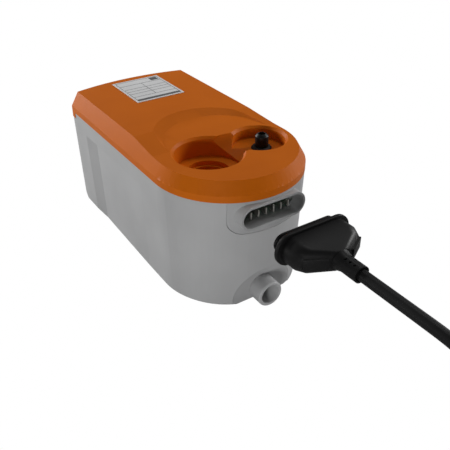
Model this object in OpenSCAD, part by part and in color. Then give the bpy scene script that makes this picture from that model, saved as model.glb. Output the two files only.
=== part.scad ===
// Condensate pump: grey tank, lift-off pump head with an orange lid, and its plug and mains cord.
// Millimetres. The nose looks towards -Y, the feet stand on z = 0.

/* [Case] */
// Overall width of the lid
case_w = 100; // [90:1:120]
// Length from the tip of the nose to the middle of the bowed back
case_len = 191.5; // [180:0.5:230]
// Height of the tank, from its underside to its rim
tank_h = 78; // [74:1:100]
// How much narrower each side of the tank is at its underside
tank_draft = 2.95; // [1:0.05:4]
// Step from the lid's edge in to the tank's wall
rim_step = 0.15; // [0.1:0.05:0.6]
// Wall and floor of the tank
tank_wall = 3; // [2.5:0.1:4]
// Height of the rubber feet below the tank
foot_h = 2; // [1:0.5:5]
// Radius of the rubber feet
foot_r = 6; // [4:0.5:9]
// How far the middle of the back stands out past its corners
back_bow = 7.5; // [4:0.5:12]
// Rounding along the bottom of the back
back_round = 9; // [4:0.5:14]
// Chamfer round the bottom edge
base_chamfer = 2; // [1:0.5:3]

/* [Lid] */
// Height of the lid above the tank's rim
lid_h = 14.4; // [13:0.2:20]
// Upright lip at the lid's lower edge
lid_lip = 4.4; // [3:0.2:6]
// How far the bevel leans in on the sides
lid_bevel = 5.7; // [3:0.1:9]
// How far the bevel leans in at the back
lid_bevel_back = 2; // [1:0.5:5]
// Wall of the lid
lid_wall = 1.8; // [1.5:0.1:2.4]
// Drop from the main top to the round front field
field_drop = 2.2; // [1:0.1:3]
// Radius of the round front field
field_r = 36.5; // [32:0.5:40]
// Step back from the field's centre to the centre of its sloping rim
field_slope = 11; // [6:0.5:14]

/* [Pockets] */
// Radius of the deep inlet pocket
inlet_pocket_r = 21.5; // [18:0.5:25]
// Depth of the inlet pocket
inlet_pocket_d = 13.2; // [11:0.2:15]
// Radius of the condensate inlet hole
inlet_hole_r = 14; // [12:0.5:16]
// Radius of the outlet pocket
outlet_pocket_r = 17.2; // [14:0.2:19]
// Soft edge round both pockets
pocket_edge = 1.6; // [0.8:0.2:2.4]
// Depth of the outlet pocket
outlet_pocket_d = 7.9; // [6:0.2:9]
// Radius of the outlet spigot
stub_r = 4.3; // [3:0.1:5]
// Bore radius of the outlet spigot
stub_bore_r = 2.2; // [1.5:0.1:2.6]
// How far the outlet spigot stands above its pocket's floor
stub_h = 10; // [8:0.5:14]

/* [Socket] */
// Half width of the socket's collar
collar_hw = 23.1; // [20:0.1:24]
// Half height of the socket's collar
collar_hh = 7.8; // [6.5:0.1:8.5]
// Wall of the collar
collar_wall = 1.5; // [1:0.1:2]
// How far the collar's rim stands past the nose
collar_out = 1.4; // [0.5:0.1:4]
// Half width of the front panel
panel_hw = 26.7; // [26:0.1:30]
// Number of contact blades
blade_count = 6; // [3:1:7]

/* [Spigot] */
// Outer radius of the front spigot
spigot_r = 8.8; // [7:0.1:9.5]
// Bore radius of the front spigot
spigot_bore_r = 6.7; // [5.5:0.1:7]
// Depth of the niche round the front spigot
niche_d = 9; // [6:0.5:12]
// Radius of the niche's arch
niche_r = 22; // [18:0.5:24]
// How far the spigot stands past the nose
spigot_out = 2; // [1:0.5:12]

/* [Pump] */
// Outer radius of the pump's cylinder
cyl_r = 7.2; // [6.5:0.1:8]
// Radius of the plunger
plunger_r = 4.5; // [3.5:0.1:5]
// Stroke of the plunger each way
plunger_stroke = 4; // [2:0.5:5]
// Width of the coil's steel yoke
yoke_w = 32; // [30:0.5:33]
// Length of the pump's cylinder as a share of the straight part of the case
pump_share = 0.452; // [0.43:0.002:0.47]

/* [Float] */
// Outer radius of the float
float_r = 13; // [10:0.5:15]
// Height of the float
float_h = 15; // [12:0.5:18]
// Radius of the stem that the float slides on
stem_r = 3; // [2.5:0.1:4]

/* [Plug and cord] */
// Distance from the socket's rim to the flange of the unplugged plug
plug_gap = 32.6; // [20:0.2:50]
// Half width of the plug's rear flange
plug_hw = 25.4; // [24.5:0.1:29]
// Half height of the plug's rear flange
plug_hh = 9.9; // [9.5:0.1:12]
// Length of the plug's body behind its flange
plug_body_len = 18.4; // [16:0.2:24]
// Length of the plug's neck
neck_len = 17.5; // [12:0.5:24]
// Radius of the plug's neck
neck_r = 4.9; // [4.2:0.1:6]
// Radius of the mains cord
cord_r = 3.3; // [3:0.1:3.4]
// Radius of the coil's outermost turn
coil_r = 47.4; // [45:0.2:50]
// Turns in the coil's lower layer
coil_turns = 2.5; // [1.5:1:2.5]

/* [Hidden] */
$fn = 96;

over = 1;               // how far every cut runs past the face it opens
fit = 0.3;              // gap between pieces that stand apart
run_gap = 0.1;          // radial gap of the plunger in its cylinder
seam = 0.2;             // seam between the front panel and the tank
far = case_len * 2;     // larger than the whole pump
tiny = 0.01;            // overlap where two forms of one piece meet
snug = 0.05;            // room round a piece that sits tight
slip = 0.1;             // room round a piece that is put in

// Places that everything follows
nose_r = case_w / 2;
tip_y = -(case_len + spigot_out) / 2 + spigot_out;
nose_y = tip_y + nose_r;
back_y = tip_y + case_len;                               // middle of the back
back_r = (nose_r * nose_r + back_bow * back_bow) / (2 * back_bow);
base_z = foot_h;
rim_z = base_z + tank_h;
top_z = rim_z + lid_h;
field_z = top_z - field_drop;
floor_z = base_z + tank_wall;
tank_cx = nose_r - rim_step;                             // half width at the rim

// Half width of the tank's outside at a height
function tank_hw(z) = tank_cx - tank_draft * (rim_z - z) / tank_h;

// Shared forms
// The plan of the case between two heights: half nose circle in front, bowed back, sides leaning from hw0 to hw1
module case_form(z0, z1, hw0, hw1, back0, back1) {
  intersection() {
    union() {
      translate([0, nose_y, z0]) cylinder(h = z1 - z0, r1 = hw0, r2 = hw1);
      translate([0, back_y + over, 0]) rotate([90, 0, 0])
        linear_extrude(back_y + over - nose_y) polygon([[-hw0, z0], [hw0, z0], [hw1, z1], [-hw1, z1]]);
    }
    translate([0, back_y - back_r, z0]) cylinder(h = z1 - z0, r1 = back_r - back0, r2 = back_r - back1, $fn = 180);
  }
}
// A slot-shaped plate: half width w, half height h, standing in XZ and running along +Y from y0 for d
module oval(w, h, y0, d) {
  translate([0, y0 + d, socket_z]) rotate([90, 0, 0]) linear_extrude(d) {
    square([2 * (w - h), 2 * h], center = true);
    for (s = [-1, 1]) translate([s * (w - h), 0]) circle(h);
  }
}
// The same with its ends rounded by r less than half its height
module soft_box(w, h, r, y0, d) {
  translate([0, y0 + d, socket_z]) rotate([90, 0, 0]) linear_extrude(d) {
    square([2 * w, 2 * (h - r)], center = true);
    square([2 * (w - r), 2 * h], center = true);
    for (s = [-1, 1], t = [-1, 1]) translate([s * (w - r), t * (h - r)]) circle(r);
  }
}
// A cylinder along +Y
module rod(r, y0, len, x = 0, z = 0, r2 = -1) {
  translate([x, y0, z]) rotate([-90, 0, 0]) cylinder(h = len, r1 = r, r2 = r2 < 0 ? r : r2);
}
module tube(r, bore, y0, len, x = 0, z = 0) {
  difference() { rod(r, y0, len, x, z); rod(bore, y0 - over, len + 2 * over, x, z); }
}

// Sweep of a round section along points, closed at both ends
function unit(v) = v / norm(v);
function side_of(t) = unit(cross(t, abs(t.z) < 0.9 ? [0, 0, 1] : [1, 0, 0]));
function along(p, i) = unit(p[min(i + 1, len(p) - 1)] - p[max(i - 1, 0)]);
function ring_at(c, t, r, n, flat) = let (u = side_of(t), w = cross(u, t)) [for (k = [0 : n - 1])
  c + r * (cos(360 * (k + flat) / n) * u + sin(360 * (k + flat) / n) * w)];
module swept(p, r, n, flat = 0.5, first = [], last = []) {
  m = len(p);
  // first and last, where given, are the directions at the two ends
  function way(i) = i == 0 && len(first) == 3 ? unit(first) : i == m - 1 && len(last) == 3 ? unit(last) : along(p, i);
  polyhedron(
    points = [for (i = [0 : m - 1]) each ring_at(p[i], way(i), r, n, flat)],
    faces = concat([[for (k = [0 : n - 1]) k]],
      [for (i = [0 : m - 2], k = [0 : n - 1]) let (a = i * n + k, b = i * n + (k + 1) % n) each [[a, a + n, b], [b, a + n, b + n]]],
      [[for (k = [n - 1 : -1 : 0]) (m - 1) * n + k]]));
}

// Tank
spigot_z = spigot_r + fit;
niche_y = tip_y + niche_d;
niche_z = base_z + niche_r / 5;
spigot_step = 0.2;             // shoulder behind the spigot
spigot_hole_r = spigot_bore_r - spigot_step;
grip_drop = 12;
recess_top = rim_z - grip_drop; // top of the side grips
recess_d = 2.2;                // depth of the side grips
grip_in = 29.5;
recess_back = back_y - grip_in; // where the grip's ramp starts
recess_ramp = 13.5;            // length of the ramp
grip_out = 23;
recess_len = recess_back - nose_y - grip_out; // where the grip runs out
panel_h = 22.1;                // height of the front panel
panel_low = rim_z - panel_h;
panel_r = 9.5;                 // its lower corners
socket_drop = 9.6;
socket_z = rim_z - socket_drop; // middle of the socket

module panel_notch(gap, y0, d) {
  translate([0, y0 + d, 0]) rotate([90, 0, 0]) linear_extrude(d) {
    translate([-panel_hw - gap, panel_low + panel_r]) square([2 * (panel_hw + gap), rim_z - panel_low - panel_r + over]);
    translate([-panel_hw - gap + panel_r, panel_low - gap]) square([2 * (panel_hw + gap - panel_r), panel_r + gap + over]);
    for (s = [-1, 1]) translate([s * (panel_hw + gap - panel_r), panel_low - gap + panel_r]) circle(panel_r);
  }
}
module side_grip() {
  tilt = atan(tank_draft / tank_h);
  for (s = [-1, 1]) scale([s, 1, 1]) translate([tank_hw(recess_top), 0, recess_top]) rotate([0, tilt, 0])
    translate([0, 0, -tank_h]) linear_extrude(tank_h)
      polygon([[over, recess_back], [0, recess_back], [-recess_d, recess_back - recess_ramp], [0, recess_back - recess_len], [over, recess_back - recess_len]]);
}
module tank_outside() {
  rear_r = back_r - rim_step;
  difference() {
    intersection() {
      union() {
        case_form(base_z, base_z + base_chamfer, tank_hw(base_z) - base_chamfer, tank_hw(base_z + base_chamfer), rim_step, rim_step);
        case_form(base_z + base_chamfer, rim_z, tank_hw(base_z + base_chamfer), tank_cx, rim_step, rim_step);
      }
      // rounds the bottom of the back
      translate([0, back_y - back_r, 0]) union() {
        translate([0, 0, base_z + back_round]) cylinder(h = tank_h, r = back_r, $fn = 180);
        translate([0, 0, base_z]) cylinder(h = tank_h, r = rear_r - back_round, $fn = 180);
        rotate_extrude($fn = 180) translate([rear_r - back_round, base_z + back_round]) circle(back_round);
      }
    }
    side_grip();
  }
}
skirt_drop = 4;                // the lid hangs this much lower round the back
skirt_len = 12.5;
skirt_y = back_y - skirt_len;  // from here on
module tank() {
  color([0.62, 0.63, 0.64]) difference() {
    tank_outside();
    difference() {
      case_form(floor_z, rim_z + over, tank_hw(floor_z) - tank_wall, tank_cx - tank_wall, tank_wall + back_round / 2, tank_wall);
      rod(niche_r + tank_wall, tip_y - over, niche_d + tank_wall + over, 0, niche_z);
    }
    // niche for the hose on the front spigot
    rod(niche_r, tip_y - over, niche_d + over, 0, niche_z);
    rod(spigot_hole_r, niche_y - over, tank_wall + 2 * over, 0, spigot_z);
    panel_notch(seam, tip_y - over, nose_r / 2);
    for (p = foot_places) translate([p.x, p.y, base_z - over]) cylinder(h = over + foot_plug_h, r = foot_plug_r);
    // room for the lid's skirt round the back
    difference() {
      translate([-far / 2, skirt_y - seam, rim_z - skirt_drop - seam]) cube([far, far, far]);
      case_form(rim_z - skirt_drop - 2 * over, rim_z + 2 * over, nose_r - lid_wall - seam, nose_r - lid_wall - seam, lid_wall + seam, lid_wall + seam);
    }
  }
}
module front_spigot() {
  mouth_y = tip_y - spigot_out;
  lead = 0.8; // lead-in round the mouth
  color([0.60, 0.61, 0.62]) difference() {
    union() {
      rod(spigot_r, mouth_y + lead, niche_y - mouth_y - lead, 0, spigot_z);
      rod(spigot_r - lead, mouth_y, lead, 0, spigot_z, spigot_r);
    }
    rod(spigot_bore_r, mouth_y - over, niche_y - mouth_y + 2 * over, 0, spigot_z);
  }
}
foot_plug_r = 2.5;
foot_plug_h = 1.8;
foot_edge = 12;
foot_in = foot_r + foot_edge; // feet stand this far in from the sides
foot_places = [for (s = [-1, 1], y = [nose_y, back_y - foot_in - back_round]) [s * (nose_r - foot_in), y]];
module rubber_feet() {
  color([0.09, 0.09, 0.09]) for (p = foot_places) translate([p.x, p.y, 0]) {
    cylinder(h = foot_h, r = foot_r);
    cylinder(h = foot_h + foot_plug_h, r = foot_plug_r);
  }
}

// Lid
inlet_in = 36;                 // from the left side to the inlet
inlet_x = inlet_in - nose_r;
outlet_in = 26;                // from the right side to the outlet pocket
outlet_x = nose_r - outlet_in;
pocket_fore = 2;
pocket_y = nose_y - pocket_fore;
stub_shift = 2.5;
stub_x = outlet_x + stub_shift;
inlet_floor_z = field_z - inlet_pocket_d;
outlet_floor_z = field_z - outlet_pocket_d;
pocket_wall = 2;
pocket_floor = 3;        // floor of the inlet pocket
neck_hw = 14;            // half width of the neck between the pockets
neck_in = 2.5;            // the neck's middle behind the pockets' middle
trough_r = 20;           // the neck's round floor
trough_out = 1.5;        // its lowest line in front of the pockets' middle
trough_drop = 3.8;       // how far it slopes down to the inlet pocket
bevel_z = rim_z + lid_lip;
field_x = 3;
field_lean = 1;
field_back = 11;
field_y = nose_y + field_back;
ramp_len = 28;           // gentle rise of the top beside the round field

module lid_form(inset, z0, z1) {
  zb = bevel_z;
  case_form(z0, zb + tiny, nose_r - inset, nose_r - inset, inset, inset);
  case_form(zb, z1, nose_r - inset, nose_r - inset - lid_bevel * (z1 - zb) / (top_z - zb), inset, inset + lid_bevel_back);
}
module field_cut() {
  hull() {
    translate([field_x, field_y, field_z]) cylinder(h = tiny, r = field_r, $fn = 72);
    translate([field_x - field_lean, field_y + field_slope, top_z + tiny]) cylinder(h = tiny, r = field_r, $fn = 72);
    translate([field_x, field_y, top_z + over]) cylinder(h = tiny, r = field_r, $fn = 72);
  }
  translate([-nose_r - over, 0, 0]) rotate([90, 0, 90]) linear_extrude(case_w + 2 * over)
    polygon([[tip_y - over, field_z], [field_y, field_z], [field_y + ramp_len, top_z + tiny], [field_y + ramp_len, top_z + over], [tip_y - over, top_z + over]]);
}
// Both pockets with the neck between them, grown to the outside of their walls, or the room in them
module pocket_form(grow, sink) {
  neck_x0 = inlet_x + inlet_pocket_r / 2;
  neck_x1 = outlet_x - outlet_pocket_r / 3;
  lean = atan(trough_drop / (neck_x1 - inlet_x - inlet_pocket_r));
  translate([inlet_x, pocket_y, inlet_floor_z - sink]) cylinder(h = far, r = inlet_pocket_r + grow);
  translate([outlet_x, pocket_y, outlet_floor_z - sink]) cylinder(h = far, r = outlet_pocket_r + grow);
  intersection() {
    translate([neck_x0, pocket_y + neck_in - neck_hw - grow, inlet_floor_z - sink]) cube([neck_x1 - neck_x0, 2 * (neck_hw + grow), far]);
    translate([neck_x1, pocket_y - trough_out, outlet_floor_z + trough_r / cos(lean)]) rotate([0, -90 - lean, 0])
      translate([0, 0, -over]) cylinder(h = far, r = trough_r + grow);
  }
}
// Slope round the top of a pocket
module pocket_rim(x, r) {
  translate([x, pocket_y, field_z - pocket_edge]) cylinder(h = pocket_edge + over, r1 = r, r2 = r + pocket_edge + over);
}
hook_w = 8;
hook_t = 1.6;
hook_drop = 9;
hook_fore = 32.75;
hook_back = 34.75;
hook_places = [for (s = [-1, 1], y = [nose_y + hook_fore, back_y - hook_back]) [s, y]];
module lid() {
  ceiling = field_z - lid_wall - field_drop / 2;
  color([0.72, 0.33, 0.08]) difference() {
    union() {
      difference() {
        lid_form(0, rim_z, top_z);
        lid_form(lid_wall, rim_z - over, ceiling);
      }
      intersection() {
        lid_form(0, inlet_floor_z - pocket_floor - over, top_z);
        difference() {
          pocket_form(pocket_wall, pocket_floor);
          translate([0, 0, inlet_floor_z - pocket_floor - far]) cylinder(h = far, r = far);
        }
      }
      // the skirt round the back
      intersection() {
        difference() {
          case_form(rim_z - skirt_drop, rim_z + over, nose_r, nose_r, 0, 0);
          case_form(rim_z - skirt_drop - over, rim_z + 2 * over, nose_r - lid_wall, nose_r - lid_wall, lid_wall, lid_wall);
        }
        translate([-far / 2, skirt_y, 0]) cube([far, far, far]);
      }
      for (h = hook_places) translate([h[0] * (hook_x - hook_t / 2), h[1], (rim_z - hook_drop + ceiling) / 2])
        cube([hook_t, hook_w, ceiling - rim_z + hook_drop + over], center = true);
    }
    field_cut();
    pocket_form(0, 0);
    pocket_rim(inlet_x, inlet_pocket_r);
    pocket_rim(outlet_x, outlet_pocket_r);
    translate([inlet_x, pocket_y, inlet_floor_z - pocket_floor - over]) cylinder(h = pocket_floor + 2 * over, r = inlet_hole_r);
    translate([stub_x, pocket_y, outlet_floor_z - pocket_floor - over]) cylinder(h = pocket_floor + 2 * over, r = stub_r);
  }
}
label_w = 38.3;
label_l = 44.3;
label_t = 0.3;
label_x = 2.5;
label_in = 31;                 // from the back to the label's middle
module label_plate() {
  color([0.73, 0.74, 0.75]) translate([label_x - label_w / 2, back_y - label_in - label_l / 2, top_z]) cube([label_w, label_l, label_t]);
}

// Chassis: the tray that carries the pump and the board
tray_wall = 2;
tray_gap = 0.6;                               // between tray and tank
tray_drop = 34;
tray_z = rim_z - tray_drop;                   // underside of the tray
deck_t = 2.4;
deck_z = tray_z + deck_t;                     // top of the tray's floor
seal_t = 0.6;
flange_t = 1.8;
flange_room = 0.25;
flange_hw = nose_r - lid_wall - flange_room;
function tray_hw(z) = tank_hw(z) - tank_wall - tray_gap;
hook_x = tray_hw(rim_z - hook_drop - over) - tray_wall - 2 * slip;
sleeve_in = 0.7;
sleeve_low_r = inlet_hole_r - sleeve_in;      // lower end of the inlet sleeve
post_r = 3;
post_bore_r = 1.2;
post_h = 9;
board_z = deck_z + post_h;
board_x = 10 - nose_r;
board_fore = 28.75;
board_y = nose_y + board_fore;
board_w = 40;
board_back = 26.75;
board_l = back_y - nose_y - board_fore - board_back;
post_in = 5;
post_places = [for (x = [board_x + post_in, board_x + board_w - post_in], y = [board_y + post_in, board_y + board_l - post_in]) [x, y]];
pump_x = stub_x;
pump_rise = 2.1;
pump_z = deck_z + yoke_w / 2 + pump_rise;
suction_bend = 9;
suction_in = 19.75;
suction_y = back_y - suction_in;
cap_len = 14;                                 // a valve cap with its barb
cyl_len = (back_y - nose_y) * pump_share;
cyl_back = suction_y - suction_bend - cap_len;
cyl_front = cyl_back - cyl_len;
cyl_ends = 20;                                // of the cylinder outside the yoke
yoke_len = cyl_len - cyl_ends;
yoke_fore = 12;
yoke_y = cyl_front + yoke_fore;
plunger_less = 4;
plunger_len = yoke_len - plunger_less;
pad_r = 4.5;
pad_in = 5.5;
pad_fore = 6;
pad_places = [for (s = [-1, 1], t = [0, 1]) [pump_x + s * (yoke_w / 2 - pad_in), yoke_y + pad_fore + t * (yoke_len - 2 * pad_fore)]];
suction_r = 3.4;
stem_in = 18;
stem_x = board_x + stem_in;
stem_back = 56.75;
stem_y = back_y - stem_back;
stem_top_r = 6;
stem_hole_r = stem_r + snug;

// how far the tray's back stands in from the tank's at a height
function tray_back(z) = tank_wall + tray_gap + (rim_z - z) * back_round / tank_h;
module tray_outline(grow, z0, z1) {
  case_form(z0, z1, tray_hw(z0) + grow, tray_hw(z1) + grow, tray_back(z0) - grow, tray_back(z1) - grow);
}
module chassis_tray() {
  box_hw = collar_hw + box_wall;
  color([0.30, 0.31, 0.32]) difference() {
    union() {
      difference() {
        union() {
          tray_outline(0, tray_z, rim_z + seal_t);
          case_form(rim_z + seal_t, rim_z + seal_t + flange_t, flange_hw, flange_hw, nose_r - flange_hw, nose_r - flange_hw);
        }
        tray_outline(-tray_wall, deck_z, rim_z + seal_t + flange_t + over);
      }
      for (p = post_places) translate([p.x, p.y, deck_z]) cylinder(h = board_z - deck_z, r = post_r);
    }
    for (p = post_places) translate([p.x, p.y, deck_z]) cylinder(h = board_z - deck_z + over, r = post_bore_r + slip);
    // openings: socket box in front, inlet sleeve, suction pipe, float stem, pads, lid hooks
    translate([-box_hw - fit, tip_y - over, box_low - fit]) cube([2 * (box_hw + fit), nose_r / 2, rim_z + lid_h]);
    translate([inlet_x, pocket_y, tray_z - over]) cylinder(h = tray_wall * 2 + over, r = sleeve_low_r + 2 * slip);
    translate([pump_x, suction_y, tray_z - over]) cylinder(h = tray_wall * 2 + over, r = suction_r + snug);
    translate([stem_x, stem_y, tray_z - over]) cylinder(h = tray_wall * 2 + over, r = stem_hole_r);
    for (p = pad_places) translate([p.x, p.y, tray_z - over]) cylinder(h = tray_wall * 2 + over, r = pad_r / 2 + slip);
  }
}
module rim_seal() {
  color([0.08, 0.08, 0.08]) difference() {
    case_form(rim_z, rim_z + seal_t, flange_hw, flange_hw, nose_r - flange_hw, nose_r - flange_hw);
    tray_outline(snug, rim_z - over, rim_z + seal_t + over);
    translate([-panel_hw - seam, tip_y - over, rim_z - over]) cube([2 * (panel_hw + seam), nose_r / 2, seal_t + 2 * over]);
  }
}

// Socket
collar_y = tip_y - collar_out;
tunnel_d = 9.6;                                // from the collar's rim to the end of its floor
box_wall = 1.5;                                // walls of the box behind the socket
board_bay = 12;
box_back = collar_y + tunnel_d + board_bay;
box_low = socket_z - collar_hh - box_wall;
box_top = rim_z;
board_t = 1.6;
board_off = 3.5;
socket_board_y = box_back - board_off;
blade_pitch = 5.4;
blade_t = 0.8;
blade_h = 4.6;
blade_drop = 0.9;
blade_z = socket_z - blade_drop;
blade_in = 4;
blade_y = collar_y + blade_in;                 // front edges of the blades
module front_panel() {
  box_hw = collar_hw + box_wall;
  color([0.62, 0.63, 0.64]) difference() {
    union() {
      intersection() {
        case_form(base_z, rim_z, tank_hw(base_z), tank_cx, 0, 0);
        union() {
          difference() {
            panel_notch(0, tip_y - over, nose_r / 2);
            case_form(base_z - over, rim_z + 2 * over, tank_hw(base_z - over) - tank_wall, tank_hw(rim_z + 2 * over) - tank_wall, 0, 0);
          }
          translate([-box_hw, tip_y - over, box_low]) cube([2 * box_hw, box_back - tip_y + over, box_top - box_low]);
        }
      }
      oval(collar_hw, collar_hh, collar_y, tunnel_d);
    }
    oval(collar_hw - collar_wall, collar_hh - collar_wall, collar_y - over, tunnel_d + over);
    // room behind the tunnel for blades and board, open at the back
    translate([-box_hw + box_wall, collar_y + tunnel_d - tiny, box_low + box_wall])
      cube([2 * (box_hw - box_wall), box_back - collar_y, box_top - box_low - 2 * box_wall]);
  }
}
module socket_board() {
  color([0.05, 0.22, 0.13]) difference() {
    translate([-collar_hw + slip, socket_board_y, box_low + box_wall + slip])
      cube([2 * (collar_hw - slip), board_t, box_top - box_low - 2 * (box_wall + slip)]);
    for (i = [0 : blade_count - 1]) translate([(i - (blade_count - 1) / 2) * blade_pitch, socket_board_y + board_t / 2, blade_z])
      cube([blade_t, board_t + 2 * over, blade_h / 2], center = true);
  }
}
blade_tail = 1;                               // of a blade behind its board
module contact_blades() {
  color([0.78, 0.78, 0.76]) for (i = [0 : blade_count - 1]) translate([(i - (blade_count - 1) / 2) * blade_pitch - blade_t / 2, 0, blade_z]) {
    translate([0, blade_y, -blade_h / 2]) cube([blade_t, socket_board_y - blade_y, blade_h]);
    translate([0, socket_board_y, -blade_h / 4]) cube([blade_t, board_t + blade_tail, blade_h / 2]);
  }
}

// Water path
sleeve_out = 1.5;
sleeve_r = inlet_hole_r + sleeve_out;
sleeve_t = 1.3;
sleeve_foot = 2;
sleeve_lip = 2.5;
module inlet_sleeve() {
  z1 = inlet_floor_z - pocket_floor;
  step = deck_z + sleeve_foot;
  color([0.30, 0.31, 0.32]) translate([inlet_x, pocket_y, 0]) difference() {
    union() {
      translate([0, 0, step]) cylinder(h = z1 - step, r = sleeve_r);
      translate([0, 0, z1 - sleeve_foot]) cylinder(h = sleeve_foot, r = sleeve_r + sleeve_lip);
      translate([0, 0, tray_z - sleeve_foot]) cylinder(h = step - tray_z + sleeve_foot, r = sleeve_low_r);
      translate([0, 0, deck_z]) cylinder(h = 2, r = sleeve_r);
    }
    translate([0, 0, tray_z - sleeve_foot - over]) cylinder(h = far, r = sleeve_low_r - sleeve_t);
  }
}
hose_r = 4;
hose_bore = 2.6;
barb_r = 2.6;
dis_bend = 8.5;
barb_len = 4;          // how far a barb reaches into its hose
hose_drop = 5;
hose_top = outlet_floor_z - hose_drop;
barb_in = 3;                                  // the barb starts this far under the floor
grommet_t = 1.4;
module outlet_spigot() {
  top = outlet_floor_z + stub_h;
  dome = 1.6;
  shank = 3.5;
  color([0.06, 0.06, 0.06]) translate([stub_x, pocket_y, 0]) difference() {
    union() {
      translate([0, 0, outlet_floor_z - shank]) cylinder(h = shank + grommet_t, r = stub_r - fit);
      translate([0, 0, outlet_floor_z + grommet_t]) cylinder(h = top - dome - outlet_floor_z - grommet_t, r = stub_r);
      intersection() {
        translate([0, 0, top - dome]) cylinder(h = dome, r1 = stub_r, r2 = stub_r - dome);
        translate([0, 0, top - dome]) cylinder(h = dome, r = stub_r);
      }
      translate([0, 0, hose_top - barb_len]) cylinder(h = outlet_floor_z - hose_top - barb_in + barb_len, r = barb_r);
    }
    translate([0, 0, hose_top - barb_len - over]) cylinder(h = barb_len + over + outlet_floor_z - hose_top - barb_in, r = barb_r / 2);
    translate([0, 0, outlet_floor_z - barb_in - tiny]) cylinder(h = far, r = stub_bore_r);
  }
}
module outlet_grommet() {
  flare = 2.6;
  color([0.05, 0.05, 0.05]) translate([stub_x, pocket_y, outlet_floor_z]) difference() {
    cylinder(h = grommet_t, r1 = stub_r + flare, r2 = stub_r + flare / 2);
    translate([0, 0, -over]) cylinder(h = grommet_t + 2 * over, r = stub_r - fit);
  }
}
// A hose bent through a right angle: it runs along +Y at (x, y0..), then turns up or down about (y_c, z_c)
module elbow(bend, y_c, z_c, from) {
  translate([pump_x, y_c, z_c]) rotate([0, -90, 0]) rotate([0, 0, from]) rotate_extrude(angle = 90) translate([bend, 0]) difference() {
    circle(hose_r, $fn = 48);
    circle(hose_bore, $fn = 48);
  }
}
module discharge_hose() {
  y_c = pocket_y + dis_bend;
  z_c = pump_z + dis_bend;
  color([0.75, 0.77, 0.74]) {
    elbow(dis_bend, y_c, z_c, 180);
    translate([pump_x, pocket_y, z_c]) difference() {
      cylinder(h = hose_top - z_c, r = hose_r, $fn = 48);
      translate([0, 0, -over]) cylinder(h = hose_top - z_c + 2 * over, r = hose_bore, $fn = 48);
    }
    tube(hose_r, hose_bore, y_c, cap_front + hose_drop - y_c, pump_x, pump_z, $fn = 48);
  }
}
hose_low = deck_z + hose_drop;
module suction_hose() {
  y_c = suction_y - suction_bend;
  z_c = pump_z - suction_bend;
  color([0.75, 0.77, 0.74]) {
    elbow(suction_bend, y_c, z_c, 0);
    translate([pump_x, suction_y, hose_low]) difference() {
      cylinder(h = z_c - hose_low, r = hose_r, $fn = 48);
      translate([0, 0, -over]) cylinder(h = z_c - hose_low + 2 * over, r = hose_bore, $fn = 48);
    }
    tube(hose_r, hose_bore, cap_back - hose_drop, y_c - cap_back + hose_drop, pump_x, pump_z, $fn = 48);
  }
}
strainer_r = 7.5;
strainer_h = 9;
strainer_gap = 1.5;
pipe_in = 3;                                  // of the pipe inside the strainer
pipe_flange = [2, 2.5];                       // thickness, width
strainer_z = floor_z + strainer_gap;
module suction_pipe() {
  color([0.80, 0.80, 0.78]) translate([pump_x, suction_y, 0]) difference() {
    union() {
      translate([0, 0, strainer_z + strainer_h - pipe_in]) cylinder(h = hose_low - strainer_z - strainer_h + pipe_in, r = suction_r);
      translate([0, 0, deck_z]) cylinder(h = pipe_flange[0], r = suction_r + pipe_flange[1]);
      translate([0, 0, hose_low - over]) cylinder(h = over + barb_len, r = barb_r);
    }
    translate([0, 0, base_z]) cylinder(h = far, r = barb_r - 1);
  }
}
module strainer() {
  slots = 12;
  wall = 1.2;
  color([0.25, 0.26, 0.27]) translate([pump_x, suction_y, strainer_z]) difference() {
    cylinder(h = strainer_h, r = strainer_r);
    translate([0, 0, wall]) cylinder(h = strainer_h - 2 * wall - 0.6, r = strainer_r - wall);
    cylinder(h = strainer_h + over, r = suction_r);
    for (i = [0 : slots - 1]) rotate(360 * i / slots) translate([strainer_r - wall - over, -0.6, wall]) cube([2 * over + wall, 1.2, strainer_h / 2]);
  }
}

// Solenoid pump, lying along Y
cap_front = cyl_front - cap_len;
cap_back = cyl_back + cap_len;
cyl_bore = plunger_r + run_gap;
port_r = 1.5;
web = 3;
ball_r = 2;
ball_room = 0.8;
chamber_r = ball_r + ball_room;
chamber_len = 5.5;
plunger_back = 1;
plunger_y = yoke_y + (yoke_len - plunger_len) / 2 + plunger_back;
cyl_lip = [1.3, 4];            // rise, length
module pump_cylinder() {
  color([0.85, 0.85, 0.82]) difference() {
    union() {
      rod(cyl_r, cyl_front, cyl_back - cyl_front, pump_x, pump_z);
      rod(cyl_r + cyl_lip[0], cyl_front, cyl_lip[1], pump_x, pump_z);
    }
    rod(cyl_bore, cyl_front + web, far, pump_x, pump_z);
    rod(port_r, cyl_front - over, web + 2 * over, pump_x, pump_z);
  }
}
chamber_end = 2.5;
module valve_cap(turn) {
  // the cap's face at 0, its barb towards +Y
  difference() {
    union() {
      rod(cyl_r, 0, chamber_len + chamber_end);
      rod(barb_r, 0, cap_len);
    }
    rod(chamber_r, turn ? 1 : -over, turn ? chamber_len : chamber_len + over);
    rod(port_r, -over, cap_len + 2 * over);
  }
}
module outlet_valve_cap() {
  color([0.20, 0.20, 0.21]) translate([pump_x, cyl_front, pump_z]) rotate([0, 0, 180]) valve_cap(false);
}
module inlet_valve_cap() {
  color([0.20, 0.20, 0.21]) translate([pump_x, cyl_back, pump_z]) valve_cap(true);
}
module outlet_ball() {
  color([0.75, 0.2, 0.15]) translate([pump_x, cyl_front - ball_r - fit, pump_z]) sphere(ball_r, $fn = 48);
}
module inlet_ball() {
  color([0.75, 0.2, 0.15]) translate([pump_x, cyl_back + over + chamber_len - ball_r - fit, pump_z]) sphere(ball_r, $fn = 48);
}
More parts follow.
